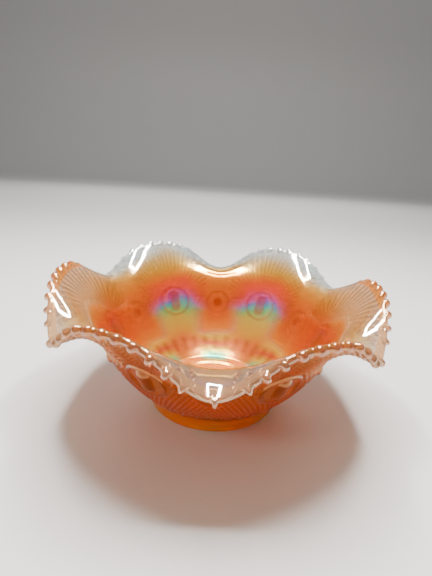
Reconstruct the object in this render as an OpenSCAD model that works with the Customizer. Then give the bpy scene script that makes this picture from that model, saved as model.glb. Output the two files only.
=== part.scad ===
// Carnival glass bowl with a round foot, a plain-lined body and six ruffles.
// The frame is Z up, with the origin on the surface the foot stands on, at the bowl's axis.
// Azimuth 0 is +X and points at the crest of a ruffle, so a valley faces -Y.

/* [Foot] */
// Outer radius of the foot ring where it stands
foot_r = 43; // [40:0.5:46]
// Height of the foot ring
foot_h = 8; // [7:0.5:9]
// Width of the flat face the foot stands on
foot_flat = 3.4; // [2.5:0.1:4]
// Height of the hollow under the floor
floor_recess = 3.5; // [2.5:0.5:4]

/* [Body] */
// Thickness of the floor
floor_t = 6.5; // [6:0.5:7]
// Outer radius of the shoulder, where the plain body ends and the ruffle begins
shoulder_r = 75; // [73:0.5:78]
// Height of the shoulder on the outside
shoulder_z = 50; // [48:0.5:54]
// How far the body's outline bows out from a straight line
body_bow = 3.5; // [2:0.25:4]
// Thickness of the glass at the shoulder
wall_t = 4.4; // [4:0.1:5]

/* [Ruffle] */
// Radius of the rim, the same at crests and valleys
rim_r = 102.5; // [99:0.5:105]
// Height of the rim's outer edge at a crest
crest_z = 83; // [79:0.5:87]
// Height of the rim's outer edge at a valley
valley_z = 61; // [57:0.5:63]
// Rise of the rim towards +Y, as a share of the distance from the axis
rim_tilt = 0.02; // [0:0.002:0.03]
// How much lower every other valley is pulled, and the rest are raised
valley_swing = 2; // [0:0.5:3]
// Share of a ruffle by which its crests are broad and its valleys narrow
crest_breadth = 0.17; // [0:0.01:0.25]
// Thickness of the glass at the rim
rim_t = 3.6; // [3.2:0.1:4]

/* [Moulded pattern] */
// Beads along the edge of each ruffle
beads_per_ruffle = 11; // [9:2:15]
// Radius of the beads in the middle of a row
bead_r = 2.9; // [2.5:0.1:2.9]
// How much smaller the beads at the ends of a row are
bead_taper = 0.5; // [0:0.1:0.6]
// Radius of the single pearl at the foot of each valley
pearl_r = 2.4; // [2.2:0.1:3]
// Ribs in the fan on each ruffle
ribs_per_fan = 11; // [7:2:13]
// Radius of one rib
rib_r = 0.9; // [0.7:0.1:1.1]
// Radius of the rounded band where the foot meets the body
heel_band_r = 1.5; // [1:0.1:2]

/* [Hidden] */

ruffles = 6;
panel_deg = 360 / ruffles;
marigold = [0.93, 0.50, 0.12, 0.55];
straw = [0.90, 0.78, 0.52, 0.45];
clear = [0.93, 0.90, 0.82, 0.40];

// Foot: the ring leans in a little from the face it stands on to its neck.
neck_r = foot_r - 1.5;
foot_in_r = foot_r - 6;
foot_round = 1;

// Body: an arc from the neck to the shoulder, bowed out by body_bow.
heel = [neck_r, foot_h];
shoulder = [shoulder_r, shoulder_z];
chord = norm(shoulder - heel);
chord_deg = atan2(shoulder_z - foot_h, shoulder_r - neck_r);
half_arc_deg = 2 * atan(2 * body_bow / chord);
body_arc_r = chord / 2 / sin(half_arc_deg);
shoulder_deg = chord_deg + half_arc_deg;
floor_z = floor_recess + floor_t;
body_steps = 10;

// Unit vectors along and across a direction in the profile's plane.
function along(deg) = [cos(deg), sin(deg)];
function across(deg) = [-sin(deg), cos(deg)];

// A point on the body's outer line: t is 0 at the heel and 1 at the shoulder.
function body_deg(t) = chord_deg - half_arc_deg + 2 * half_arc_deg * t;
arc_centre = heel + body_arc_r * across(body_deg(0));
function body_line(t) = arc_centre - body_arc_r * across(body_deg(t));
function body_lining(t) = arc_centre - (body_arc_r - wall_t) * across(body_deg(t));
// The lining meets the floor where it has come up to the floor's height.
lining_points = [for (i = [0:body_steps]) let(p = body_lining(i / body_steps)) if (p.y > floor_z + 0.4) p];
floor_r = lining_points[0].x - 3;

// Ruffle: one outline at a crest and one at a valley, which start as one line at the shoulder.
lead = 10;
crest_curve = [
    shoulder,
    shoulder + lead * along(shoulder_deg),
    [rim_r - 8, crest_z - 8],
    [rim_r, crest_z]
];
valley_curve = [
    shoulder,
    shoulder + lead * along(shoulder_deg),
    [rim_r - 18.5, valley_z + 8.5],
    [rim_r, valley_z]
];
function bezier(p, t) =
    pow(1 - t, 3) * p[0] + 3 * pow(1 - t, 2) * t * p[1] + 3 * (1 - t) * t * t * p[2] + pow(t, 3) * p[3];
// 1 at a crest and 0 at a valley.
function ruffle(a) = (1 + cos(ruffles * a)) / 2 + crest_breadth * pow(sin(ruffles * a), 2);
// A point on the ruffle's outer face: u is 0 at the shoulder and 1 at the rim, a is the azimuth.
function skin(u, a) =
    let(v = bezier(valley_curve, u), c = bezier(crest_curve, u), p = v + (c - v) * ruffle(a))
    [p.x * cos(a), p.x * sin(a), p.y + rim_tilt * u * p.x * sin(a) + valley_swing * u * u * sin(3 * a)];
// The unit normal there, which points through the glass to the inside of the bowl.
function skin_normal(u, a) =
    let(
        up = skin(min(u + 0.01, 1), a) - skin(max(u - 0.01, 0), a),
        round_axis = skin(u, a + 0.5) - skin(u, a - 0.5),
        n = cross(up, round_axis)
    )
    n / norm(n);
function skin_along(u, a) = let(d = skin(u, a) - skin(u - 0.01, a)) d / norm(d);
function glass_t(u) = wall_t + (rim_t - wall_t) * u;
function lining(u, a) = skin(u, a) + glass_t(u) * skin_normal(u, a);

// The azimuth that lies a given share of the way along the rim's own length, within one ruffle.
table_step = 1;
function step_length(a) = norm(skin(1, a + table_step) - skin(1, a));
function running(i) = i <= 0 ? 0 : running(i - 1) + step_length(-panel_deg / 2 + (i - 1) * table_step);
rim_table = [for (i = [0:panel_deg / table_step]) [running(i), -panel_deg / 2 + i * table_step]];
panel_length = running(panel_deg / table_step);
function rim_azimuth(share) = lookup(share * panel_length, rim_table);

// A solid of revolution from a profile of [radius, height] points.
module revolve(points) {
    rotate_extrude($fn = 144) polygon(points);
}

// A straight rod with round ends.
module rod(from, to, r) {
    span = to - from;
    turn = atan2(span.y, span.x);
    lean = acos(span.z / norm(span));
    translate(from) rotate([0, lean, turn]) {
        cylinder(r = r, h = norm(span), $fn = 24);
        sphere(r = r, $fn = 24);
        translate([0, 0, norm(span)]) sphere(r = r, $fn = 24);
    }
}

// Places a child on the body's outer face with its own Z pointing out through the glass.
module on_body(t, azimuth) {
    p = body_line(t);
    rotate([0, 0, azimuth]) translate([p.x, 0, p.y]) rotate([0, 180 - body_deg(t), 0]) children();
}

// The foot ring stands on a flat face with rounded edges, and narrows to the neck.
module foot_ring() {
    flat_in = foot_in_r + foot_round;
    color(marigold) revolve([
        [flat_in + 0.6, 0],
        [flat_in + 0.6 + foot_flat, 0],
        [foot_r - 0.3, 0.6],
        [foot_r, 1.6],
        [neck_r, foot_h],
        [foot_in_r, foot_h],
        [foot_in_r, foot_round]
    ]);
}

// The floor lies inside the foot ring, above the hollow the ring stands round.
module base_disc() {
    color(marigold) translate([0, 0, floor_recess]) cylinder(r = foot_in_r, h = floor_t, $fn = 144);
}

// A low ring pressed into the inside of the floor.
module floor_ring() {
    color(marigold) rotate_extrude($fn = 144) intersection() {
        translate([floor_r - 9, floor_z]) circle(r = 1.2, $fn = 32);
        translate([floor_r - 12, floor_z]) square([6, 3]);
    }
}

// The plain body, from the foot's neck to the shoulder. Its lining sweeps down to the floor.
module lower_wall() {
    color(marigold) revolve(concat(
        [[foot_in_r, foot_h], heel],
        [for (i = [1:body_steps]) body_line(i / body_steps)],
        [for (i = [len(lining_points) - 1:-1:0]) lining_points[i]],
        [[foot_in_r, floor_z]]
    ));
}

// The ruffled upper part of the bowl, one closed skin from the shoulder to the rim.
module ruffled_rim() {
    turns = 144;
    rings = 9;
    row = rings + 1;
    outer = [for (i = [0:turns - 1], j = [0:rings]) skin(j / rings, i * 360 / turns)];
    inner = [for (i = [0:turns - 1], j = [0:rings]) lining(j / rings, i * 360 / turns)];
    skip = turns * row;
    function at(i, j) = (i % turns) * row + j;
    outside = [for (i = [0:turns - 1], j = [0:rings - 1]) each [
        [at(i, j), at(i, j + 1), at(i + 1, j + 1)],
        [at(i, j), at(i + 1, j + 1), at(i + 1, j)]
    ]];
    inside = [for (f = outside) [skip + f[2], skip + f[1], skip + f[0]]];
    shoulder_face = [for (i = [0:turns - 1]) each [
        [at(i, 0), at(i + 1, 0), skip + at(i + 1, 0)],
        [at(i, 0), skip + at(i + 1, 0), skip + at(i, 0)]
    ]];
    rim_face = [for (i = [0:turns - 1]) each [
        [at(i, rings), skip + at(i + 1, rings), at(i + 1, rings)],
        [at(i, rings), skip + at(i, rings), skip + at(i + 1, rings)]
    ]];
    color(straw) polyhedron(concat(outer, inner), concat(outside, inside, shoulder_face, rim_face), 4);
}

// Where a bead of radius r is centred: just past the edge, and nearer the outer face the larger it is,
// so that the lining stays almost smooth.
past_edge = 1.6;
outward_share = 0.7;
function bead_place(a, r) =
    let(depth = rim_t / 2 - outward_share * (r - rim_t / 2))
    skin(1, a) + depth * skin_normal(1, a) + past_edge * skin_along(1, a);

// A row of beads along each ruffle, which stops short of the valleys.
module rim_beads() {
    row_share = 0.73;
    color(clear)
        for (panel = [0:ruffles - 1], i = [0:beads_per_ruffle - 1]) {
            place = i / (beads_per_ruffle - 1) - 0.5;
            r = bead_r - bead_taper * pow(2 * place, 2);
            translate(bead_place(panel * panel_deg + rim_azimuth(0.5 + row_share * place), r))
                sphere(r = r, $fn = 32);
        }
}

// One pearl on its own at the foot of each valley.
module rim_pearls() {
    color(clear)
        for (panel = [0:ruffles - 1])
            translate(bead_place((panel + 0.5) * panel_deg, pearl_r)) sphere(r = pearl_r, $fn = 32);
}

// Where the eye of each ruffle sits on the body, as a share of the way up to the shoulder.
eye_t = 0.9;
eye_r = 6.5;
eye_length = 9;
eye_ring_r = 12;
button_t = 0.86;
button_r = 4.5;

// A long smooth boss below each crest, which lies along the slope of the body.
module eye_bosses() {
    color(marigold) difference() {
        for (panel = [0:ruffles - 1])
            on_body(eye_t, panel * panel_deg) translate([0, 0, -eye_r * 0.62])
                rod([-eye_length / 2, 0, 0], [eye_length / 2, 0, 0], eye_r);
        body_block();
    }
}

// A raised ring round each boss.
module eye_rings() {
    color(marigold) difference() {
        for (panel = [0:ruffles - 1])
            on_body(eye_t, panel * panel_deg)
                rotate_extrude($fn = 64) translate([eye_ring_r, -0.6]) circle(r = 1.8, $fn = 24);
        body_block();
    }
}

// A round button between neighbouring eyes, below each valley.
module valley_buttons() {
    color(marigold) difference() {
        for (panel = [0:ruffles - 1])
            on_body(button_t, (panel + 0.5) * panel_deg) translate([0, 0, -button_r * 0.5])
                sphere(r = button_r, $fn = 48);
        body_block();
    }
}

// A fine raised ring round each button.
module valley_rings() {
    color(marigold) difference() {
        for (panel = [0:ruffles - 1])
            on_body(button_t, (panel + 0.5) * panel_deg)
                rotate_extrude($fn = 64) translate([button_r * 2, -0.4]) circle(r = 1.3, $fn = 24);
        body_block();
    }
}

// The body as one solid block, which trims what is moulded on its outer face.
module body_block() {
    revolve(concat(
        [[0, foot_h], heel],
        [for (i = [1:body_steps]) body_line(i / body_steps)],
        [shoulder + lead * along(shoulder_deg), [0, shoulder_z + lead * sin(shoulder_deg)]]
    ));
}

// A point on the line of one rib: lean is -0.5 to 0.5 across the fan, w is 0 at the eye and 1 at the beads.
fan_from = 0.1;
fan_to = 0.93;
fan_deg = 42;
function rib_u(w) = fan_from + (fan_to - fan_from) * w;
function rib_a(lean, w) = lean * fan_deg * (0.55 + 0.45 * w);
// One corner of a rib's cross-section, k sixths of the way round it.
function rib_corner(panel, lean, w, k, r) =
    let(
        u = rib_u(w),
        a = panel * panel_deg + rib_a(lean, w),
        n = skin_normal(u, a),
        side = cross(n, skin_along(u, a))
    )
    skin(u, a) + (0.2 + r * sin(60 * k)) * n + r * cos(60 * k) * side;

// Fine ribs that fan out from the eye to the beads, on the underside of each ruffle.
module fan_ribs() {
    legs = 5;
    sides = 6;
    ribs = [for (panel = [0:ruffles - 1], i = [0:ribs_per_fan - 1]) [panel, i / (ribs_per_fan - 1) - 0.5]];
    size = (legs + 1) * sides;
    points = [for (r = ribs, j = [0:legs], k = [0:sides - 1])
        rib_corner(r[0], r[1], j / legs, k, rib_r * (j == 0 || j == legs ? 0.55 : 1))];
    function at(i, j, k) = i * size + j * sides + k % sides;
    walls = [for (i = [0:len(ribs) - 1], j = [0:legs - 1], k = [0:sides - 1]) each [
        [at(i, j, k), at(i, j + 1, k), at(i, j + 1, k + 1)],
        [at(i, j, k), at(i, j + 1, k + 1), at(i, j, k + 1)]
    ]];
    ends = [for (i = [0:len(ribs) - 1]) each [
        [for (k = [0:sides - 1]) at(i, 0, k)],
        [for (k = [sides - 1:-1:0]) at(i, legs, k)]
    ]];
    color(straw) polyhedron(points, concat(walls, ends), 4);
}

// A rounded band moulded round the neck, where the foot meets the body.
module heel_band() {
    color(marigold) rotate_extrude($fn = 144) intersection() {
        translate([neck_r - 0.2, foot_h]) circle(r = heel_band_r, $fn = 48);
        translate([neck_r, foot_h - 4]) square([6, 8]);
    }
}

foot_ring();
base_disc();
floor_ring();
lower_wall();
ruffled_rim();
rim_beads();
rim_pearls();
eye_bosses();
eye_rings();
fan_ribs();
valley_buttons();
valley_rings();
heel_band();
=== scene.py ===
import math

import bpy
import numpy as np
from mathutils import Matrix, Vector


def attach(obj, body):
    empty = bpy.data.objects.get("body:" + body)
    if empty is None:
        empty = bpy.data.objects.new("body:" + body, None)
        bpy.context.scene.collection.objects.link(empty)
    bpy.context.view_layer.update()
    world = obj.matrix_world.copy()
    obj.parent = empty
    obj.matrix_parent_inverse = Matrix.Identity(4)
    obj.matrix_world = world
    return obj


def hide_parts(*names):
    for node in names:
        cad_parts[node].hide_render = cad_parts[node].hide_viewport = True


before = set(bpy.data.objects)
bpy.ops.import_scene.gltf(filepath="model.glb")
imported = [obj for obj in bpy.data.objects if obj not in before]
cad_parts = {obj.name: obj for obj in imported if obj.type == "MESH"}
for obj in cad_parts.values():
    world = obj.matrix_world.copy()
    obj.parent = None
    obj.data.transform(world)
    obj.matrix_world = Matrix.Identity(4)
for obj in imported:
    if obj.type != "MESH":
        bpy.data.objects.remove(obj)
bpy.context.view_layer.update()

# %% [markdown]
# # A carnival glass bowl
# Carnival glass is pressed glass with a thin metal film sprayed on while it is hot. The bowl is one
# piece of glass, so light enters at one skin and leaves at another, and every bit of relief bends it.
# It could be made by joining the plain solids of the design, but each place where they touch would show
# as a mirror inside the glass. Here one skin is drawn round the whole bowl instead, and cut into four
# closed pieces along clean lines: foot, body, ruffled flange and beaded edge.

MM = 0.001

# %% [markdown]
# ## The camera
# The bowl is seen from just above its rim, close to, with a short lens, so the near ruffles look
# larger than the far ones. The camera is held a little crooked. Three angles and a place could be set
# by hand, but building the axes from pitch, yaw and roll keeps each number one that a person can read.

# %% The camera
LENS, SENSOR, STANDS_AT = 26, 36, (-1.3, -257.6, 163.0)
PITCH, YAW, ROLL = (math.radians(v) for v in (18.06, -0.13, 3.46))
forward = Vector((math.sin(YAW) * math.cos(PITCH), math.cos(YAW) * math.cos(PITCH), -math.sin(PITCH)))
level = Vector((math.cos(YAW), -math.sin(YAW), 0))
upright = level.cross(forward)
right = level * math.cos(ROLL) + upright * math.sin(ROLL)
up = upright * math.cos(ROLL) - level * math.sin(ROLL)
camera_data = bpy.data.cameras.new("camera")
camera_data.lens = LENS
camera_data.sensor_width = SENSOR
camera = bpy.data.objects.new("camera", camera_data)
bpy.context.scene.collection.objects.link(camera)
place = Vector(STANDS_AT) * MM
camera.matrix_world = Matrix((
    (right.x, up.x, -forward.x, place.x),
    (right.y, up.y, -forward.y, place.y),
    (right.z, up.z, -forward.z, place.z),
    (0, 0, 0, 1)))
bpy.context.scene.camera = camera
print("camera", round(place.length / MM), "mm from the foot's centre")

# %% [markdown]
# ## Small helpers for materials
# Colours are picked as sRGB hex values, the way a paint chart gives them, and the shader wants linear
# light, so one function turns them. Another adds a node with its settings and links in one line, which
# keeps each material short enough to read as a recipe.

# %% Colours and nodes
def linear(hex_colour, alpha=1.0):
    """An sRGB hex colour as linear red, green, blue and alpha."""
    parts = [int(hex_colour[i:i + 2], 16) / 255 for i in (1, 3, 5)]
    return [c / 12.92 if c <= 0.04045 else ((c + 0.055) / 1.055) ** 2.4 for c in parts] + [alpha]


def add_node(material, kind, settings=None, **inputs):
    """A new node: settings are its own properties, inputs are values or (node, output) links."""
    tree = material.node_tree
    node = tree.nodes.new(kind)
    for name, value in (settings or {}).items():
        setattr(node, name, value)
    for name, value in inputs.items():
        key = int(name[1:]) if name[0] == "_" else name.replace("_", " ")
        if isinstance(value, tuple):
            tree.links.new(value[0].outputs[value[1]], node.inputs[key])
        else:
            node.inputs[key].default_value = value
    return node


def new_material(name):
    material = bpy.data.materials.new(name)
    material.use_nodes = True
    material.node_tree.nodes.clear()
    return material


def stops(node, pairs):
    """Fills a colour ramp with (position, colour) stops."""
    elements = node.color_ramp.elements
    while len(elements) < len(pairs):
        elements.new(1.0)
    for element, (position, colour) in zip(elements, pairs):
        element.position = position
        element.color = colour


print("orange glass in linear light:", [round(v, 3) for v in linear("#E8701C")])

# %% [markdown]
# ## The shape of the glass
# The design gives one outline for the body, and two for the ruffle: one at a crest, one at a valley.
# Every other azimuth is a blend of those two. The ruffle could be pulled from a flat rim with a
# lattice or a wave modifier, but the design's own curves give the same surface in a few lines, so the
# glass lies exactly where the design has it. Lengths here are millimetres.

# %% The body's outline
RUFFLES, COLUMNS = 6, 1080
HEEL, SHOULDER = np.array([41.5, 8.0]), np.array([75.0, 50.0])
BODY_BOW, WALL, EDGE_GLASS = 3.5, 4.4, 3.6
FLOOR_Z = 10.0
azimuth = np.arange(COLUMNS) * 2 * math.pi / COLUMNS
round_axis = np.stack([np.cos(azimuth), np.sin(azimuth)], axis=1)

chord = SHOULDER - HEEL
chord_length = float(np.hypot(*chord))
chord_angle = math.atan2(chord[1], chord[0])
half_arc = 2 * math.atan(2 * BODY_BOW / chord_length)
arc_radius = chord_length / 2 / math.sin(half_arc)
body_length = arc_radius * 2 * half_arc
lean_at_heel, lean_at_shoulder = chord_angle - half_arc, chord_angle + half_arc
arc_centre = HEEL + arc_radius * np.array([-math.sin(lean_at_heel), math.cos(lean_at_heel)])


def body_outline(t):
    """Radius, height and lean of the body's outer skin: t is 0 at the heel and 1 at the shoulder."""
    lean = lean_at_heel + 2 * half_arc * np.asarray(t)
    return arc_centre[0] + arc_radius * np.sin(lean), arc_centre[1] - arc_radius * np.cos(lean), lean


print("body outline is", round(body_length, 1), "mm long, leaning",
      round(math.degrees(lean_at_heel)), "to", round(math.degrees(lean_at_shoulder)), "degrees")

# %% [markdown]
# ## The ruffle's outlines
# The hot rim was pulled over a form into crests and valleys. Both outlines leave the body along its own
# slope, so no crease shows at the shoulder. A Bezier curve with four points does that with the fewest
# numbers: its second point sets the slope at the shoulder, its third sets how the rim curls.

# %% The ruffle's outlines
RIM_R, CREST_Z, VALLEY_Z, CREST_BREADTH = 102.5, 83.0, 61.0, 0.17
START_REACH, CREST_CURL, VALLEY_CURL = 10, np.array([8, 8]), np.array([18.5, -8.5])
# The rim was finished by hand: it rises a little to the back, and the valleys lie high and low by turns.
RIM_TILT, VALLEY_SWING = 0.02, 2.0
start = SHOULDER + START_REACH * np.array([math.cos(lean_at_shoulder), math.sin(lean_at_shoulder)])
crest_end, valley_end = np.array([RIM_R, CREST_Z]), np.array([RIM_R, VALLEY_Z])
CREST_CURVE = [SHOULDER, start, crest_end - CREST_CURL, crest_end]
VALLEY_CURVE = [SHOULDER, start, valley_end - VALLEY_CURL, valley_end]


def curve_point(points, u):
    weights = ((1 - u) ** 3, 3 * (1 - u) ** 2 * u, 3 * (1 - u) * u * u, u ** 3)
    return sum(w * p for w, p in zip(weights, points))


def curve_slope(points, u):
    steps = [points[k + 1] - points[k] for k in range(3)]
    return sum(3 * w * s for w, s in zip(((1 - u) ** 2, 2 * (1 - u) * u, u * u), steps))


crestness = (1 + np.cos(RUFFLES * azimuth)) / 2 + CREST_BREADTH * np.sin(RUFFLES * azimuth) ** 2
print("crest and valley lie", CREST_Z - VALLEY_Z, "mm apart in height")

# %% [markdown]
# ## Points and directions on the ruffled skin
# At every point the glass needs three directions: along the slope towards the rim, round the bowl, and
# through the glass to the inside. The first comes from the curve's own slope, the second from the
# neighbouring azimuths, and the third is square to both. u may differ from column to column.

# %% The ruffled skin
def skin(u):
    """Outer skin of the ruffle for one u, or one u per column: points, directions and speed."""
    u = np.broadcast_to(np.asarray(u, float), azimuth.shape)[:, None]

    def blend(curve):
        valley, crest = ([p[None, :] for p in points] for points in (VALLEY_CURVE, CREST_CURVE))
        return curve(valley, u) * (1 - crestness[:, None]) + curve(crest, u) * crestness[:, None]

    flat, slope, share = blend(curve_point), blend(curve_slope), u[:, 0]
    tilt, swing = RIM_TILT * np.sin(azimuth), VALLEY_SWING * np.sin(RUFFLES / 2 * azimuth)
    lift = tilt * share * flat[:, 0] + swing * share ** 2
    rise = tilt * (flat[:, 0] + share * slope[:, 0]) + 2 * swing * share
    points = np.column_stack([round_axis * flat[:, :1], flat[:, 1] + lift])
    along = np.column_stack([round_axis * slope[:, :1], slope[:, 1] + rise])
    speed = np.linalg.norm(along, axis=1)
    along = along / speed[:, None]
    across = np.roll(points, -1, axis=0) - np.roll(points, 1, axis=0)
    across -= np.sum(across * along, axis=1)[:, None] * along
    inward = np.cross(along, across)
    inward /= np.linalg.norm(inward, axis=1)[:, None]
    return points, along, inward, speed


edge_points, edge_along, edge_inward, edge_speed = skin(1.0)
steps = np.linalg.norm(np.roll(edge_points, -1, axis=0) - edge_points, axis=1)
rim_run = np.concatenate([[0], np.cumsum(steps)[:-1]])
rim_length = float(steps.sum())
print("the rim is", round(rim_length), "mm long round its ruffles")

# %% [markdown]
# ## The moulded pattern
# The mould cut a pattern in the outside only; the inside is plain. Below each crest is an eye: a long
# boss in a raised ring, with fine ribs that fan out from it to the beads. Below each valley is a
# button in its own ring. Small pearls fill the ground between. It could be a bump map, but relief in
# glass has to bend light, so each is a height in millimetres that moves the skin outwards.

# %% Sizes of the pattern
# A dome is a ball of this radius, sunk into the glass by this much.
EYE_SLOPE, EYE_HALF_LENGTH, EYE_DOME = -0.1 * body_length, 4.5, (6.5, 4.03)
EYE_RING_R, EYE_RING_DOME = 12, (1.8, 0.6)
BUTTON_SLOPE, BUTTON_DOME = -0.14 * body_length, (4.5, 2.25)
BUTTON_RING_R, BUTTON_RING_DOME = 9, (1.3, 0.4)
RIB_TURN, RIB_HEIGHT, RIB_NOTCH_PITCH = math.radians(6), 1.0, 3.2
PEARLS_IN_A_ROW, PEARL_PITCH, PEARL_DOME, PEARL_STRETCH = 120, 3.0, (1.35, 0.75), 1.5
PETALS, PETAL_HEIGHT, PETAL_FOOT, PETAL_TIP = 36, 1.2, (2, 6), (21, 15)
# Each pair is where a motif has faded out and where it stands at its full height.
FAN_FROM_EYE, FAN_FROM_VALLEY, FAN_FROM_EDGE, FAN_HALF_TURN = (13.5, 16), (7, 13), (0.5, 2.5), (1.7, 1.45)
GROUND_FROM_EYE, GROUND_FROM_BUTTON, GROUND_FROM_SHOULDER = (14, 16), (10.5, 12.5), (2, -4)
print("the eye sits", round(-EYE_SLOPE, 1), "mm below the shoulder")

# %% [markdown]
# ## Heights from distances
# Every motif is a height that depends only on a distance: from the eye, from the button, or along a row.
# Three small functions are enough: a smooth fade, a dome, and the angle to the nearest of six places.

# %% Fade, dome and nearest
def fade(x, low, high):
    """0 below low, 1 above high, and smooth between them. low may be the larger."""
    t = np.clip((x - low) / (high - low), 0, 1)
    return t * t * (3 - 2 * t)


def dome(distance, radius, sunk):
    return np.maximum(np.sqrt(np.maximum(radius ** 2 - distance ** 2, 0)) - sunk, 0)


def nearest(turn):
    """Angle to the nearest of the six places that lie at azimuth turn, turn + 60 degrees and so on."""
    pitch = 2 * math.pi / RUFFLES
    return (azimuth - turn + pitch / 2) % pitch - pitch / 2


print("the button stands", round(float(dome(0.0, *BUTTON_DOME)), 2), "mm high")

# %% [markdown]
# ## The relief
# The motifs add up, and each fades out where the next begins, so they never run into each other. The
# pearls of the ground are finer on the real glass, where they read as a sparkle. They are drawn 3 mm
# apart, as coarse as they need to be to show.

# %% Heights of the pattern
def ground_pearls(slope, radius):
    """Small pearls in rows, each row half a pitch round from the next."""
    pitch = 2 * math.pi / PEARLS_IN_A_ROW
    row = np.round(slope / PEARL_PITCH)
    stagger = (azimuth + (row % 2) * pitch / 2 + pitch / 2) % pitch - pitch / 2
    return PEARL_STRETCH * dome(np.hypot(stagger * radius, slope - row * PEARL_PITCH), *PEARL_DOME)


def fan_of_ribs(to_crest, from_eye, away):
    """Ribs that fan out from the eye, with small notches along them, from 0 to 1."""
    turn = np.arctan2(to_crest, from_eye)
    ribs = (0.5 + 0.5 * np.cos(turn * 2 * math.pi / RIB_TURN)) ** 1.3
    ribs *= 0.75 + 0.25 * np.cos(2 * math.pi * away / RIB_NOTCH_PITCH)
    return ribs * fade(np.abs(turn), *FAN_HALF_TURN)


def relief(slope, radius, to_edge):
    """Height of the pattern for each column. slope is the distance up from the shoulder."""
    to_crest, to_valley = nearest(0) * radius, nearest(math.pi / RUFFLES) * radius
    from_eye = slope - EYE_SLOPE
    away, away_valley = np.hypot(to_crest, from_eye), np.hypot(to_valley, slope - BUTTON_SLOPE)
    past_boss = np.maximum(np.abs(from_eye) - EYE_HALF_LENGTH, 0)
    motifs = dome(np.hypot(to_crest, past_boss), *EYE_DOME) + dome(away - EYE_RING_R, *EYE_RING_DOME) \
        + dome(away_valley, *BUTTON_DOME) + dome(away_valley - BUTTON_RING_R, *BUTTON_RING_DOME)
    in_fan = fade(away, *FAN_FROM_EYE) * fade(np.abs(to_valley), *FAN_FROM_VALLEY) \
        * fade(to_edge, *FAN_FROM_EDGE)
    ribs = RIB_HEIGHT * fan_of_ribs(to_crest, from_eye, away) * in_fan
    above_heel = slope + body_length
    petals = np.abs(np.cos(azimuth * PETALS / 2)) * fade(above_heel, *PETAL_FOOT) \
        * fade(above_heel, *PETAL_TIP)
    ground = fade(away, *GROUND_FROM_EYE) * fade(away_valley, *GROUND_FROM_BUTTON) \
        * fade(slope, *GROUND_FROM_SHOULDER) * (1 - petals)
    return motifs + ribs + ground_pearls(slope, radius) * ground + PETAL_HEIGHT * petals ** 2


print("ribs every", round(math.degrees(RIB_TURN)), "degrees, pearls every", PEARL_PITCH, "mm")

# %% [markdown]
# ## The beaded edge
# The rim is a rounded edge that swells into beads. The beads were cut in the outer mould, so they stand
# out on the outside and the inside stays almost smooth. Balls could be joined with a boolean, but a roll
# whose radius changes gives one clean skin: its radius follows from the distance to the nearest bead,
# and within a bead its centre moves outwards, to the bead's own centre.

# %% How thick the rolled edge is, and where its centre lies
BEADS, ROW_SHARE, BEAD_R, BEAD_TAPER, PEARL_R = 11, 0.73, 2.9, 0.5, 2.4
PAST_EDGE, OUTWARD_SHARE = 1.6, 0.7
EDGE_SWELL, ROW_SWELL, ROW_ENDS, BEAD_STARTS = 0.02, 0.1, (5, 1), 0.6
half_glass = EDGE_GLASS / 2
panel = rim_length / RUFFLES
row_half = ROW_SHARE * panel / 2
bead_pitch = 2 * row_half / (BEADS - 1)
along_panel = (rim_run + panel / 2) % panel - panel / 2
nearest_bead = np.clip(np.round(along_panel / bead_pitch), -(BEADS // 2), BEADS // 2) * bead_pitch
bead_size = BEAD_R - BEAD_TAPER * (nearest_bead / row_half) ** 2
from_pearl = panel / 2 - np.abs(along_panel)
ball_size = np.where(from_pearl < PEARL_R, PEARL_R, bead_size)
from_ball = np.where(from_pearl < PEARL_R, from_pearl, along_panel - nearest_bead)
in_row = fade(np.abs(along_panel) - row_half, *ROW_ENDS)
ball = np.sqrt(np.maximum(ball_size ** 2 - from_ball ** 2, 0))
roll_radius = np.maximum(ball, half_glass + EDGE_SWELL + ROW_SWELL * in_row)
in_ball = fade(ball, half_glass, half_glass + BEAD_STARTS)
roll_depth = half_glass - OUTWARD_SHARE * (ball_size - half_glass) * in_ball
roll_past = PAST_EDGE * in_ball
print("beads every", round(bead_pitch, 2), "mm")

# %% [markdown]
# ## Laying out the skin in rows
# The skin is a stack of closed rows, each with one point per azimuth: up the outside, over the edge and
# down the inside. Rows that are numbered the same way everywhere make it easy to cut the skin into
# pieces, because two pieces that share a row share its points exactly. Each point also carries the
# height of the pattern there, which the materials use.

# %% Rows of the ruffle, from the shoulder over the edge and back
OUTER_ROWS, EDGE_ROWS, INNER_ROWS, JOINING_ROWS = 54, 26, 34, 4
EDGE_FROM, SHOW_AT_RIM = 0.93, 1.0


def with_height(points, height=0.0):
    return np.column_stack([points, np.broadcast_to(height, azimuth.shape)])


def meeting_u(depth):
    """The u of each column at which a skin that lies depth from the roll's centre meets the roll."""
    back = np.sqrt(np.maximum(roll_radius ** 2 - depth ** 2, 0)) - roll_past
    return 1 - np.maximum(back, 0) / edge_speed


outer_end, inner_end = meeting_u(roll_depth), meeting_u(EDGE_GLASS - roll_depth)
middle = edge_points + roll_depth[:, None] * edge_inward + roll_past[:, None] * edge_along
skins_on_the_way = np.stack([skin(u)[0] for u in np.linspace(0, 1, 21)])
flange_length = np.linalg.norm(np.diff(skins_on_the_way, axis=0), axis=2).sum(axis=0)


def flange_relief(u, points):
    radius = np.hypot(points[:, 0], points[:, 1])
    return relief(u * flange_length, radius, (outer_end - u) * flange_length)


def outer_row(u):
    points, _, inward, _ = skin(u)
    height = flange_relief(u, points)
    return with_height(points - height[:, None] * inward, height)


def inner_row(u):
    """The lining is plain, but carries the height of the pattern behind it, which shows through.

    The thinner the glass, the better the pattern shows, so it shows best near the rim.
    """
    points, _, inward, _ = skin(u)
    glass = np.reshape(WALL + (EDGE_GLASS - WALL) * u, (-1, 1))
    return with_height(points + glass * inward, flange_relief(u, points) * (1 + SHOW_AT_RIM * u))


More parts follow.
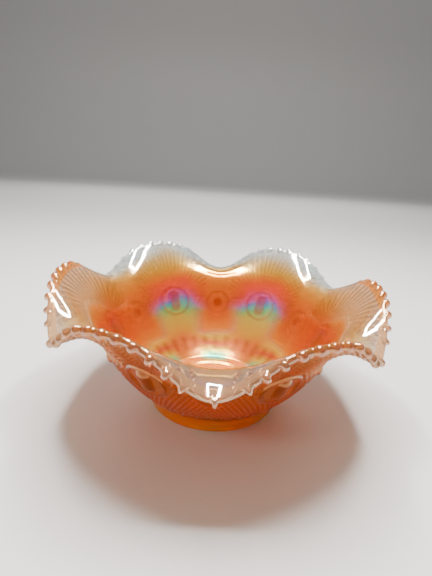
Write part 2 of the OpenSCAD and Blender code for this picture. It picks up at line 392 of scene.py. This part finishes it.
def roll_row(share):
    """One row round the rolled edge: share is -1 where it leaves the outer skin, 1 on the inside."""
    depth = roll_depth if share < 0 else EDGE_GLASS - roll_depth
    turn = share * (math.pi - np.arcsin(np.clip(depth / roll_radius, -1, 1)))
    way = np.cos(turn)[:, None] * edge_along + np.sin(turn)[:, None] * edge_inward
    return with_height(middle + roll_radius[:, None] * way, roll_radius - half_glass)


flange_outer = [outer_row(EDGE_FROM * i / OUTER_ROWS) for i in range(OUTER_ROWS + 1)]
flange_inner = [inner_row(EDGE_FROM * i / INNER_ROWS) for i in range(INNER_ROWS + 1)]
joining = [i / JOINING_ROWS for i in range(JOINING_ROWS)]
edge_rows = [outer_row(EDGE_FROM + (outer_end - EDGE_FROM) * share) for share in joining]
edge_rows += [roll_row(-1 + 2 * i / EDGE_ROWS) for i in range(EDGE_ROWS + 1)]
edge_rows += [inner_row(EDGE_FROM + (inner_end - EDGE_FROM) * share) for share in joining[::-1]]
print("highest point", round(max(r[:, 2].max() for r in edge_rows), 1), "mm, widest",
      round(max(np.hypot(r[:, 0], r[:, 1]).max() for r in edge_rows), 1), "mm")

# %% [markdown]
# ## Rows of the body
# Below the shoulder the bowl is round, so a row needs only a radius and a height. The outside still
# carries the pattern, and the lining is an arc that lies one wall thickness inside it.

# %% Rows of the body
BODY_ROWS, LINING_ROWS, FLOOR_FILLET, FAR_FROM_EDGE = 52, 36, 0.9, 99


def round_row(radius, height, lift=0.0):
    flat = round_axis * np.reshape(radius, (-1, 1))
    return with_height(np.column_stack([flat, np.broadcast_to(height, azimuth.shape)]), lift)


def body_relief(t):
    slope, radius = (np.full(COLUMNS, v) for v in ((t - 1) * body_length, body_outline(t)[0]))
    return relief(slope, radius, FAR_FROM_EDGE)


def body_row(t):
    radius, height, lean = body_outline(t)
    lift = body_relief(t)
    return round_row(radius + lift * math.sin(lean), height - lift * math.cos(lean), lift)


def lining_point(t):
    radius, height, lean = body_outline(t)
    return float(radius - WALL * math.sin(lean)), float(height + WALL * math.cos(lean))


floor_meets = min(t for t in np.linspace(0, 0.5, 101) if lining_point(t)[1] > FLOOR_Z + FLOOR_FILLET)
meet_r, meet_z = lining_point(floor_meets)
body_outer = [body_row(i / BODY_ROWS) for i in range(BODY_ROWS)] + [flange_outer[0]]
lining_steps = [floor_meets + (1 - floor_meets) * i / LINING_ROWS for i in range(LINING_ROWS)]
body_inner = [round_row(*lining_point(t), body_relief(t)) for t in lining_steps] + [flange_inner[0]]
print("the lining meets the floor at radius", round(meet_r, 1), "mm")

# %% [markdown]
# ## Rounded edges
# The foot is plain: a rounded band at the heel, a ring that stands on a ground flat face, and a shallow
# hollow under the floor. Inside, a low ring was pressed into the floor. A bevel modifier could round the
# edges, but here the outline itself is rounded, as fire polishing leaves it.

# %% Rounding an outline
# A rounded corner takes at most this share of each side beside it.
MOST_CUT = 0.45


def rounded(points, radius, steps=4):
    """The same outline of (radius, height) points, with every inner corner rounded."""
    out = [np.array(points[0], float)]
    for a, b, c in zip(points, points[1:], points[2:]):
        a, b, c = (np.array(p, float) for p in (a, b, c))
        cut = min(radius, np.linalg.norm(b - a) * MOST_CUT, np.linalg.norm(c - b) * MOST_CUT)
        p = b + (a - b) / np.linalg.norm(a - b) * cut
        q = b + (c - b) / np.linalg.norm(c - b) * cut
        out += [(1 - s) ** 2 * p + 2 * s * (1 - s) * b + s * s * q for s in np.linspace(0, 1, steps + 1)]
    return out + [np.array(points[-1], float)]


print("a right angle rounded by 1 mm has", len(rounded([(0, 0), (5, 0), (5, 5)], 1.0)), "points")

# %% [markdown]
# ## The foot's outline
# Outside, the band at the heel is most of a half circle, and the foot drops from it to the table. The
# flat that it stands on is only 3 mm wide, because that is what was ground. Inside, the floor sweeps
# down from the lining and carries one low ring.

# %% Outline and rows of the foot
FOOT_R, HOLLOW_R, HOLLOW_Z = 43, 37, 3.5
BAND_CENTRE, BAND_R, BAND_TURN = (41.3, 8), 1.5, (0.55, math.pi - 0.3)
FLOOR_RING_R, FLOOR_RING_HALF, FLOOR_RING_HEIGHT, MIDDLE_R = 28.5, 2.4, 1.2, 14
band = [(BAND_CENTRE[0] + BAND_R * math.sin(v), BAND_CENTRE[1] + BAND_R * math.cos(v))
        for v in np.linspace(*BAND_TURN, 9)]
standing = [(FOOT_R, 1.6), (FOOT_R - 0.4, 0.4), (FOOT_R - 1.4, 0), (HOLLOW_R + 1.6, 0),
            (HOLLOW_R + 0.3, 0.9), (HOLLOW_R, HOLLOW_Z), (0, HOLLOW_Z)]
ring = rounded([band[-1]] + standing, 1.0)
sweep = [(meet_r - 1.6, FLOOR_Z + 0.25), (meet_r - 3.2, FLOOR_Z), (FLOOR_RING_R + 3.1, FLOOR_Z)]
bump = [(FLOOR_RING_R - FLOOR_RING_HALF * v,
         FLOOR_Z + FLOOR_RING_HEIGHT / 2 * (1 + math.cos(math.pi * v))) for v in np.linspace(-1, 1, 11)]
floor = rounded([(meet_r, meet_z)] + sweep, 1.2) + bump + [(MIDDLE_R, FLOOR_Z), (0, FLOOR_Z)]
foot_outer = [body_outer[0]] + [round_row(r, z) for r, z in band + ring[1:-1]]
foot_inner = [body_inner[0]] + [round_row(r, z) for r, z in floor[1:-1]]
print("foot has", len(foot_outer), "rows outside and", len(foot_inner), "inside")

# %% [markdown]
# ## One chain of rows
# The rows now run without a break from under the foot, up the outside, over the edge and down the
# inside. Shading normals are worked out here, on the whole chain. Left to itself each piece would
# average its normals with the faces that close its cuts, and every cut would show as a bright line.

# %% The chain and its normals
chain = foot_outer[::-1] + body_outer[1:] + flange_outer[1:] + edge_rows[1:]
chain += flange_inner[::-1][1:] + body_inner[::-1][1:] + foot_inner[1:]
HEEL_ROW = len(foot_outer) - 1
SHOULDER_ROW = HEEL_ROW + BODY_ROWS
EDGE_ROW = SHOULDER_ROW + OUTER_ROWS
EDGE_END = EDGE_ROW + len(edge_rows) - 1
SHOULDER_INSIDE = EDGE_END + INNER_ROWS
FLOOR_ROW = SHOULDER_INSIDE + LINING_ROWS
grid = np.stack(chain)[:, :, :3] * MM
pattern_height = np.stack(chain)[:, :, 3]


def unit(v):
    return v / np.maximum(np.linalg.norm(v, axis=-1, keepdims=True), 1e-12)


step_up = unit(np.diff(grid, axis=0))
up_the_chain = np.concatenate([step_up[:1], step_up[:-1] + step_up[1:], step_up[-1:]])
round_the_row = np.roll(grid, -1, axis=1) - np.roll(grid, 1, axis=1)
normals = unit(np.cross(round_the_row, up_the_chain))
print(len(chain), "rows of", COLUMNS, "points; the pattern stands",
      round(float(pattern_height.max()), 1), "mm high")

# %% [markdown]
# ## From rows to closed pieces
# Each piece takes one or two stretches of the chain, and is closed by a face through the thickness of
# the glass at each cut. On the real bowl there is nothing there, so those faces get a material that
# light passes straight through. The pieces could be left open, but a closed one can be printed.

# %% The faces of a piece
OUTSIDE, INSIDE, CUT = 0, 1, 2
here, there = np.arange(COLUMNS), np.roll(np.arange(COLUMNS), -1)


def piece_faces(stretches, closed):
    """Rows of the chain that a piece uses, its faces between them, and the skin of each face."""
    rows = [k for first, last, _ in stretches for k in range(first, last + 1)]
    skins = [s for first, last, of in stretches for s in [of] * (last - first) + [CUT]]
    count = len(rows) if closed else len(rows) - 1
    faces, marks = [], []
    for k, skin_of in list(enumerate(skins))[:count]:
        a, b = k * COLUMNS, (k + 1) % len(rows) * COLUMNS
        faces.append(np.column_stack([a + here, a + there, b + there, b + here]))
        marks.append(np.full(COLUMNS, skin_of))
    return rows, faces, marks


print("a row has", len(here), "faces")

# %% [markdown]
# ## A mesh from those faces
# About a thousand points in each of over two hundred rows are too many for a Python list, so the arrays
# go to the mesh in one call each. The foot's two stretches end near the axis, and a fan of triangles to one
# point on the axis closes each of them.

# %% Making a piece
def make_piece(name, stretches, pole_heights=()):
    """A closed mesh from stretches of the chain: (first row, last row, skin)."""
    rows, faces, marks = piece_faces(stretches, closed=not pole_heights)
    points, shading = grid[rows].reshape(-1, 3), normals[rows].reshape(-1, 3)
    heights = pattern_height[rows].ravel()
    for way, row, height in zip((-1, 1), (0, len(rows) - 1), pole_heights):
        fan = np.column_stack([row * COLUMNS + here, np.full(COLUMNS, len(points)), row * COLUMNS + there])
        faces.append(fan[:, ::-way])
        marks.append(np.full(COLUMNS, OUTSIDE if way < 0 else INSIDE))
        points = np.concatenate([points, [[0, 0, height * MM]]])
        shading = np.concatenate([shading, [[0, 0, way]]])
        heights = np.append(heights, 0)
    sizes = np.concatenate([np.full(len(f), f.shape[1]) for f in faces])
    corners = np.concatenate([f.ravel() for f in faces])
    mesh = bpy.data.meshes.new(name)
    mesh.vertices.add(len(points))
    mesh.vertices.foreach_set("co", points.ravel())
    mesh.loops.add(len(corners))
    mesh.loops.foreach_set("vertex_index", corners)
    mesh.polygons.add(len(sizes))
    mesh.polygons.foreach_set("loop_start", np.concatenate([[0], np.cumsum(sizes)[:-1]]))
    mesh.polygons.foreach_set("loop_total", sizes)
    mesh.polygons.foreach_set("use_smooth", np.ones(len(sizes), bool))
    mesh.polygons.foreach_set("material_index", np.concatenate(marks))
    mesh.attributes.new("pattern_mm", "FLOAT", "POINT").data.foreach_set("value", heights)
    mesh.update(calc_edges=True)
    mesh.normals_split_custom_set_from_vertices(shading)
    piece = bpy.data.objects.new(name, mesh)
    bpy.context.scene.collection.objects.link(piece)
    print(name, len(points), "points", len(sizes), "faces")
    return piece


# %% [markdown]
# ## The four pieces of glass
# The bowl is cut at the heel, at the shoulder and just below the beads, which is where its finish
# changes: amber foot, deep marigold body, pale ruffled flange and clear beaded edge. Each piece stands
# for the design's parts that lie in it.

# %% The four pieces of glass
beaded_edge = make_piece("beaded_edge", [(EDGE_ROW, EDGE_END, OUTSIDE)])
ruffled_flange = make_piece(
    "ruffled_flange", [(SHOULDER_ROW, EDGE_ROW, OUTSIDE), (EDGE_END, SHOULDER_INSIDE, INSIDE)])
patterned_body = make_piece(
    "patterned_body", [(HEEL_ROW, SHOULDER_ROW, OUTSIDE), (SHOULDER_INSIDE, FLOOR_ROW, INSIDE)])
foot_and_floor = make_piece(
    "foot_and_floor", [(0, HEEL_ROW, OUTSIDE), (FLOOR_ROW, len(chain) - 1, INSIDE)], (HOLLOW_Z, FLOOR_Z))
for piece in (beaded_edge, ruffled_flange, patterned_body, foot_and_floor):
    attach(piece, "root")
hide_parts("rim_beads", "rim_pearls")
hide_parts("ruffled_rim", "fan_ribs")
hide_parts("lower_wall", "eye_bosses", "eye_rings", "valley_buttons", "valley_rings")
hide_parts("foot_ring", "base_disc", "floor_ring", "heel_band")
print("four pieces stand for the thirteen parts of the design")

# %% [markdown]
# ## Marigold lustre on pressed soda-lime glass
# The glass is clear soda-lime, with an index of 1.5. The colour is a film of tin oxide with some iron,
# with an index of 2.0, sprayed on while the glass was hot. It is over 200 nanometres thick in the middle
# of the bowl, where the spray was aimed, and thins to the rim. To the eye it does two things: it tints what
# shines through, and it splits light into bands like oil on water, which run pale, gold, red, magenta,
# blue and green as the film thickens. The shader's thin film gives the play of reflections, and colour
# ramps give the bands their order and place. Every radius below is in millimetres from the axis.

# %% The bands of colour, from the axis to the rim
FILM_END = 108.0
CREST_BANDS = [
    (0, "#EE7C1C"), (30, "#F08C28"), (38, "#F07C20"), (45, "#EE6224"), (51, "#EE742C"), (56.5, "#E0A024"),
    (61.5, "#CCB434"), (64.4, "#74C45C"), (66, "#48B8B0"), (67.2, "#7C80CC"), (68.8, "#D44898"),
    (71.5, "#EE3838"), (75.5, "#F04C18"), (79, "#F28418"), (82.5, "#F8BC30"), (86, "#F8CC50"),
    (91, "#F2CE78"), (96, "#F0E2BC"), (100, "#E6EEF0"), (107, "#F4F0EC")]
VALLEY_BANDS = [
    (0, "#EE7C1C"), (29, "#F09430"), (33, "#F8C838"), (36.5, "#38DCC0"), (39.5, "#6CE488"), (43, "#F8D038"),
    (47.5, "#F05430"), (52, "#F8B824"), (56, "#EA7C10"), (62, "#DA5804"), (70, "#CC4A02"), (76, "#E06004"),
    (82, "#F09018"), (86, "#F4AC30"), (91, "#F0BC60"), (97, "#F0D298"), (103, "#F4EADC")]
print(len(CREST_BANDS), "bands under a crest and", len(VALLEY_BANDS), "in a valley")

# %% [markdown]
# ## The colour of the outside
# Outside there is less film, and it went on as one even coat: deep orange on the body, gold on the fans,
# and almost none in the valleys, which stay clear. The foot wasn't sprayed for long, so it is amber.

# %% Colours of the outside, the foot and the edge
OUTSIDE_CRESTS = [(0, "#F09426"), (44, "#F08414"), (48, "#EE5C00"), (60, "#E85000"), (72, "#E45800"),
                  (84, "#E07200"), (93, "#E68604"), (99, "#EC9420"), (103, "#EE9038"), (107, "#F0904C")]
OUTSIDE_VALLEYS = OUTSIDE_CRESTS[:5] + [(84, "#EC8818"), (90, "#F0B058"), (96, "#F2C88C"), (107, "#F2BC88")]
FOOT_BANDS = [(0, "#F6A430"), (36, "#FF8C10"), (43, "#FF861A"), (46, "#F46A04"), (107, "#F46A04")]
# The last colour here is a painted silver reflection, laid on the rim of the far ruffles.
THICK_GLASS, THICK_PINK, FAR_RIM_REFLECTION = "#A82C00", "#E4703C", "#E2ECEA"
print("outside goes from", OUTSIDE_CRESTS[3][1], "to", OUTSIDE_CRESTS[-1][1])

# %% [markdown]
# ## How glossy, how metallic and how milky the film is
# A thick film is a soft mirror, and its tiny crystals scatter some light, so it looks faintly milky. At
# the rim there is hardly any, and the glass is clear and sharp. Each row is a radius, then how metallic,
# how rough and how milky the skin is there, from 0 to 1.

# %% Finish of the skins
INSIDE_FINISH = [(0, 0.44, 0.22, 0.45), (52, 0.36, 0.20, 0.48), (74, 0.32, 0.17, 0.40),
                 (83, 0.42, 0.13, 0.24), (92, 0.20, 0.09, 0.16), (100, 0.20, 0.06, 0.10),
                 (107, 0.10, 0.05, 0.06)]
OUTSIDE_FINISH = [(0, 0.12, 0.12, 0.50), (48, 0.14, 0.12, 0.46), (76, 0.12, 0.10, 0.38),
                  (92, 0.10, 0.09, 0.42), (100, 0.10, 0.06, 0.28), (107, 0.06, 0.04, 0.08)]
FOOT_FINISH = [(0, 0.10, 0.10, 0.64), (107, 0.10, 0.10, 0.64)]
EDGE_FINISH = [(0, 0.16, 0.07, 0.22), (107, 0.16, 0.07, 0.22)]
print("the inside is", INSIDE_FINISH[0][3], "milky in the middle and", INSIDE_FINISH[-1][3], "at the rim")

# %% [markdown]
# ## How thick the film is
# Light that bounces from the film's two faces cancels at one colour and adds at another. With an index
# of 2.0, a film of 58 nm reflects silver, 87 pale gold, 104 gold, 115 orange, 125 red, 136 magenta, 170
# blue, 190 green, 217 yellow and 245 salmon. So the bands of colour above give the thickness at each
# radius, and the reflections then take the same colours as the tint.

# %% Thickness of the film
CREST_NM = [(0, 230), (38, 235), (51, 240), (56.5, 219), (61.5, 205), (64.4, 190), (66, 178), (67.2, 160),
            (68.8, 137), (71.5, 126), (75.5, 119), (79, 113), (82.5, 104), (86, 90), (92, 72), (107, 58)]
VALLEY_NM = [(0, 230), (29, 225), (33, 216), (36.5, 181), (39.5, 191), (43, 216), (47.5, 246), (52, 216),
             (56, 115), (70, 118), (76, 113), (82, 104), (86, 90), (92, 70), (107, 58)]
OUTSIDE_NM, EDGE_NM, MOST_NM, FILM_INDEX = 114.0, 80.0, 250.0, 2.0
print("film", CREST_NM[0][1], "nm in the middle and", CREST_NM[-1][1], "nm at the rim")

# %% [markdown]
# ## Where on the bowl a point lies
# Every band needs two numbers: how far out the point is, and whether it lies under a crest or in a
# valley. Both come from the point's own place, so no image or unwrapping is needed. The bands follow the
# ruffles, a few millimetres further out under a crest, and drift a little, as a spray by hand does.

# %% The film's place
CREST_REACH, REACH_FROM_R, DRIFT, DRIFT_SIZE = 3.0, (58, 80), 9.0, 30.0
UNSPRAYED = (0.25, 0.7)


def film_place(material, plain_sides=False):
    """How far out a point is as a share of FILM_END, and 1 at a crest to -1 in a valley.

    With plain_sides the two side ruffles count as valleys, because the spray passed them by.
    UNSPRAYED says where they end, as the sine of the azimuth.
    """
    where = add_node(material, "ShaderNodeTexCoord")
    split = add_node(material, "ShaderNodeSeparateXYZ", Vector=(where, "Object"))
    flat = add_node(material, "ShaderNodeCombineXYZ", X=(split, "X"), Y=(split, "Y"))
    radius = add_node(material, "ShaderNodeVectorMath", {"operation": "LENGTH"}, _0=(flat, 0))
    turn = add_node(material, "ShaderNodeMath", {"operation": "ARCTAN2"}, _0=(split, "Y"), _1=(split, "X"))
    six = add_node(material, "ShaderNodeMath", {"operation": "MULTIPLY"}, _0=(turn, 0), _1=float(RUFFLES))
    crest = add_node(material, "ShaderNodeMath", {"operation": "COSINE"}, _0=(six, 0))
    if plain_sides:
        out = add_node(material, "ShaderNodeMath", {"operation": "DIVIDE"}, _0=(split, "Y"), _1=(radius, 1))
        size = add_node(material, "ShaderNodeMath", {"operation": "ABSOLUTE"}, _0=(out, 0))
        sprayed = add_node(material, "ShaderNodeMapRange", {"interpolation_type": "SMOOTHSTEP"},
                           Value=(size, 0), From_Min=UNSPRAYED[0], From_Max=UNSPRAYED[1])
        raised = add_node(material, "ShaderNodeMath", {"operation": "ADD"}, _0=(crest, 0), _1=1.0)
        crest = add_node(material, "ShaderNodeMath", {"operation": "MULTIPLY_ADD"},
                         _0=(raised, 0), _1=(sprayed, 0), _2=-1.0)
    high = add_node(material, "ShaderNodeMapRange", {"interpolation_type": "SMOOTHSTEP"}, Value=(radius, 1),
                    From_Min=REACH_FROM_R[0] * MM, From_Max=REACH_FROM_R[1] * MM,
                    To_Min=0.0, To_Max=-CREST_REACH * MM)
    swing = add_node(material, "ShaderNodeMath", {"operation": "MULTIPLY_ADD"},
                     _0=(crest, 0), _1=(high, 0), _2=(radius, 1))
    drift = add_node(material, "ShaderNodeTexNoise", Vector=(where, "Object"), Scale=1 / (DRIFT_SIZE * MM),
                     Detail=2.0)
    centred = add_node(material, "ShaderNodeMath", {"operation": "SUBTRACT"}, _0=(drift, 0), _1=0.5)
    wander = add_node(material, "ShaderNodeMath", {"operation": "MULTIPLY_ADD"},
                      _0=(centred, 0), _1=DRIFT * MM, _2=(swing, 0))
    share = add_node(material, "ShaderNodeMath", {"operation": "DIVIDE"}, _0=(wander, 0), _1=FILM_END * MM)
    return (share, 0), (crest, 0)


print("the bands reach", 2 * CREST_REACH, "mm further out at a crest than in a valley")

# %% [markdown]
# ## Colour from the two numbers
# Two ramps hold the bands under a crest and in a valley, and nearness to a crest mixes them. One ramp
# could do if the bands were plain rings, but the film pooled differently in the valleys.

# %% Bands under a crest and in a valley
def crest_or_valley(material, share, crest, crest_stops, valley_stops):
    """Two ramps over the radius, one for the crests and one for the valleys, mixed between them."""
    ramps = []
    for pairs in (valley_stops, crest_stops):
        ramp = add_node(material, "ShaderNodeValToRGB", Fac=share)
        stops(ramp, [(radius / FILM_END, colour) for radius, colour in pairs])
        ramps.append(ramp)
    near = add_node(material, "ShaderNodeMapRange", {"interpolation_type": "SMOOTHSTEP"}, Value=crest,
                    From_Min=-1.0, From_Max=0.8)
    mix = add_node(material, "ShaderNodeMix", {"data_type": "RGBA"}, _0=(near, 0), _6=(ramps[0], 0),
                   _7=(ramps[1], 0))
    return (mix, 2)


print("each material has two ramps over", FILM_END, "mm")

# %% [markdown]
# ## A painted reflection on the rim of the far ruffles
# On the far ruffles the rim mirrors the bright window behind the bowl, and that silver reflection is
# painted into the colour here. It could be a material of its own, but then a line would show where it
# starts, so it fades in.

# %% The painted silver reflection on the far rim
# Where the painted silver reflection fades in: towards the back, then towards the rim.
REFLECTION_FROM_Y, REFLECTION_FROM_R = (25, 70), (87, 99)


def with_painted_rim_reflection(material, share, colour):
    """The colour, turned silver near the rim on the far ruffles: a painted reflection of the bright back.
    """
    where = add_node(material, "ShaderNodeTexCoord")
    split = add_node(material, "ShaderNodeSeparateXYZ", Vector=(where, "Object"))
    far = add_node(material, "ShaderNodeMapRange", {"interpolation_type": "SMOOTHSTEP"}, Value=(split, "Y"),
                   From_Min=REFLECTION_FROM_Y[0] * MM, From_Max=REFLECTION_FROM_Y[1] * MM)
    rim = add_node(material, "ShaderNodeMapRange", {"interpolation_type": "SMOOTHSTEP"}, Value=share,
                   From_Min=REFLECTION_FROM_R[0] / FILM_END, From_Max=REFLECTION_FROM_R[1] / FILM_END)
    both = add_node(material, "ShaderNodeMath", {"operation": "MULTIPLY"}, _0=(far, 0), _1=(rim, 0))
    mix = add_node(material, "ShaderNodeMix", {"data_type": "RGBA"}, _0=(both, 0), _6=colour,
                   _7=linear(FAR_RIM_REFLECTION))
    return (mix, 2)


print("silver starts", REFLECTION_FROM_R[0], "mm from the axis")

# %% [markdown]
# ## Thicker glass is deeper in colour
# Where the pattern stands up, the glass is thicker and its colour deeper, so the height that each point
# carries mixes in a third colour. That is what makes the ribs and the eyes read through the glass. Light
# traced through clear relief would do some of it, but the film's milkiness hides most of that.

# %% The thick glass
def with_thick_glass(material, colour, thick, thick_share, thick_mm):
    """The colour, drawn towards thick by up to thick_share where the pattern stands thick_mm high."""
    height = add_node(material, "ShaderNodeAttribute", {"attribute_name": "pattern_mm"})
    deep = add_node(material, "ShaderNodeMapRange", {"interpolation_type": "SMOOTHSTEP"},
                    Value=(height, "Fac"), From_Min=0.0, From_Max=thick_mm, To_Min=0.0, To_Max=thick_share)
    both = add_node(material, "ShaderNodeMix", {"data_type": "RGBA"}, _0=(deep, 0), _6=colour,
                    _7=linear(thick))
    return (both, 2)


print("raised glass tends to", THICK_GLASS)

# %% [markdown]
# ## One shader for every skin
# Lustred glass could be built from separate glass, mirror and film shaders, but Blender's Principled
# shader has all three, and it exports. Transmission is what isn't milky. Fire polishing leaves the skin
# faintly wavy, in waves about 9 mm long, and a weak bump gives that.

# %% The glass shader
WAVE_SIZE, WAVE_HEIGHT, WAVE_STRENGTH, GLASS_INDEX = 9, 0.35, 0.6, 1.5


def lustred_glass(name, bands, finish, film_nm, thick, plain_sides=False):
    """bands and film_nm are a pair each, for the crests and the valleys, or film_nm is one number."""
    material = new_material(name)
    share, crest = film_place(material, plain_sides)
    in_linear = [[(radius, linear(colour)) for radius, colour in pairs] for pairs in bands]
    colour = crest_or_valley(material, share, crest, *in_linear)
    # Near the rim of the far ruffles a painted silver reflection is laid over the colour.
    colour = with_painted_rim_reflection(material, share, with_thick_glass(material, colour, *thick))
    ramp = add_node(material, "ShaderNodeValToRGB", Fac=share)
    stops(ramp, [(radius / FILM_END, [metal, rough, 1 - milky, 1])
                 for radius, metal, rough, milky in finish])
    parts = add_node(material, "ShaderNodeSeparateColor", Color=(ramp, 0))
    where = add_node(material, "ShaderNodeTexCoord")
    wave = add_node(material, "ShaderNodeTexNoise", Vector=(where, "Object"), Scale=1 / (WAVE_SIZE * MM),
                    Detail=1.0)
    bump = add_node(material, "ShaderNodeBump", Height=(wave, 0), Strength=WAVE_STRENGTH,
                    Distance=WAVE_HEIGHT * MM)
    if isinstance(film_nm, tuple):
        greys = [[(radius, [nm / MOST_NM] * 3 + [1]) for radius, nm in pairs] for pairs in film_nm]
        film = crest_or_valley(material, share, crest, *greys)
        thickness = add_node(material, "ShaderNodeMath", {"operation": "MULTIPLY"}, _0=film, _1=MOST_NM)
        film_nm = (thickness, 0)
    glass = add_node(material, "ShaderNodeBsdfPrincipled", Base_Color=colour, Metallic=(parts, 0),
                     Roughness=(parts, 1), Transmission_Weight=(parts, 2), IOR=GLASS_INDEX,
                     Thin_Film_Thickness=film_nm, Thin_Film_IOR=FILM_INDEX, Normal=(bump, 0))
    add_node(material, "ShaderNodeOutputMaterial", Surface=(glass, 0))
    return material


print("skin waves", WAVE_SIZE, "mm long on glass with an index of", GLASS_INDEX)

# %% [markdown]
# ## The four finishes of the glass
# The inside has the thick, play-of-colour film. The outside has an even coat, the foot has less of the
# deep colour where it is thick, and the beaded edge is nearly clear, with a pinkish thick glass.

# %% The four glasses
lustre_inside = lustred_glass(
    "marigold_lustre_inside", (CREST_BANDS, VALLEY_BANDS), INSIDE_FINISH, (CREST_NM, VALLEY_NM),
    (THICK_GLASS, 0.62, 1.9), plain_sides=True)
lustre_outside = lustred_glass(
    "marigold_lustre_outside", (OUTSIDE_CRESTS, OUTSIDE_VALLEYS), OUTSIDE_FINISH, OUTSIDE_NM,
    (THICK_GLASS, 0.9, 1.2))
amber_foot = lustred_glass(
    "amber_foot_glass", (FOOT_BANDS, FOOT_BANDS), FOOT_FINISH, OUTSIDE_NM, (THICK_GLASS, 0.3, 2.0))
clear_edge = lustred_glass(
    "clear_edge_glass", (OUTSIDE_CRESTS, OUTSIDE_VALLEYS), EDGE_FINISH, EDGE_NM, (THICK_PINK, 0.5, 1.6))
print("glass with an index of", GLASS_INDEX, "under a film of", FILM_INDEX)

# %% [markdown]
# ## Nothing inside the glass
# The faces that close each piece lie inside the solid glass, where the real bowl has no surface. Their
# material is fully see-through, so light goes on as if they weren't there.

# %% Materials on the pieces
inside_glass = new_material("inside_the_glass")
nothing = add_node(inside_glass, "ShaderNodeBsdfPrincipled", Alpha=0.0)
add_node(inside_glass, "ShaderNodeOutputMaterial", Surface=(nothing, 0))
for piece, outer in ((beaded_edge, clear_edge), (ruffled_flange, lustre_outside),
                     (patterned_body, lustre_outside), (foot_and_floor, amber_foot)):
    for material in (outer, lustre_inside, inside_glass):
        piece.data.materials.append(material)
print("materials:", ", ".join(m.name for m in bpy.data.materials if m.users))

# %% [markdown]
# ## A plain studio: the floor
# Glass shows its surroundings more than itself, and a pale sheet of paper that curves up into a wall
# keeps them quiet, with no corner to be mirrored.

# %% Floor
def sweep_floor(depth=1.6, width=4.0, turn=0.5, wall=1.6):
    """A sheet of paper that runs back along the floor and turns up into a wall."""
    bend = [(depth + turn * math.sin(v), turn * (1 - math.cos(v))) for v in np.linspace(0, math.pi / 2, 16)]
    profile = [(-2.0, 0.0)] + bend + [(depth + turn, turn + wall)]
    points = [(x, y, z) for y, z in profile for x in (-width, width)]
    faces = [(2 * k, 2 * k + 1, 2 * k + 3, 2 * k + 2) for k in range(len(profile) - 1)]
    mesh = bpy.data.meshes.new("paper_sweep")
    mesh.from_pydata(points, [], faces)
    mesh.polygons.foreach_set("use_smooth", [True] * len(faces))
    sheet = bpy.data.objects.new("paper_sweep", mesh)
    bpy.context.scene.collection.objects.link(sheet)
    return sheet


paper = new_material("pale_paper")
paper_skin = add_node(paper, "ShaderNodeBsdfPrincipled", Base_Color=linear("#CFCBC6"), Roughness=0.6)
add_node(paper, "ShaderNodeOutputMaterial", Surface=(paper_skin, 0))
sheet = sweep_floor()
sheet.data.materials.append(paper)
print("paper sweep with", len(sheet.data.polygons), "faces")

# %% [markdown]
# ## A plain studio: the light
# An oblong frame of strip lamps overhead draws the crisp outline that a glossy skin reflects. A long
# window behind lights the rim from the back, and a weak lamp at the left fills the shadow. Neither of
# those two is mirrored, because a second outline would clutter the glass.

# %% Lights
def soft_light(name, place, aim, width, depth, power):
    data = bpy.data.lights.new(name, "AREA")
    data.shape = "RECTANGLE"
    data.size, data.size_y, data.energy = width, depth, power
    lamp = bpy.data.objects.new(name, data)
    bpy.context.scene.collection.objects.link(lamp)
    lamp.location = place
    lamp.rotation_euler = (Vector(aim) - Vector(place)).to_track_quat("-Z", "Y").to_euler()
    lamp.visible_camera = False
    return lamp


FRAME_Y, FRAME_Z, STRIP_WATTS = 0.1, 0.75, 6
AT_BOWL = (0, 0, 0.05)
for name, dx, dy, w, d in (("strip_front", 0, -0.13, 0.40, 0.05), ("strip_back", 0, 0.13, 0.40, 0.05),
                           ("strip_left", -0.175, 0, 0.05, 0.21), ("strip_right", 0.175, 0, 0.05, 0.21)):
    soft_light(name, (dx, FRAME_Y + dy, FRAME_Z), (dx, FRAME_Y + dy, 0), w, d, STRIP_WATTS)
window = soft_light("window_behind", (0, 1.5, 0.62), AT_BOWL, 1.6, 0.3, 14)
fill = soft_light("fill_left", (-1.2, -0.5, 0.8), AT_BOWL, 0.6, 0.6, 6)
for lamp in (window, fill):
    lamp.visible_glossy = False
world = bpy.data.worlds.new("studio")
bpy.context.scene.world = world
world.use_nodes = True
world.node_tree.nodes["Background"].inputs["Color"].default_value = linear("#DDE2E8")
world.node_tree.nodes["Background"].inputs["Strength"].default_value = 0.35
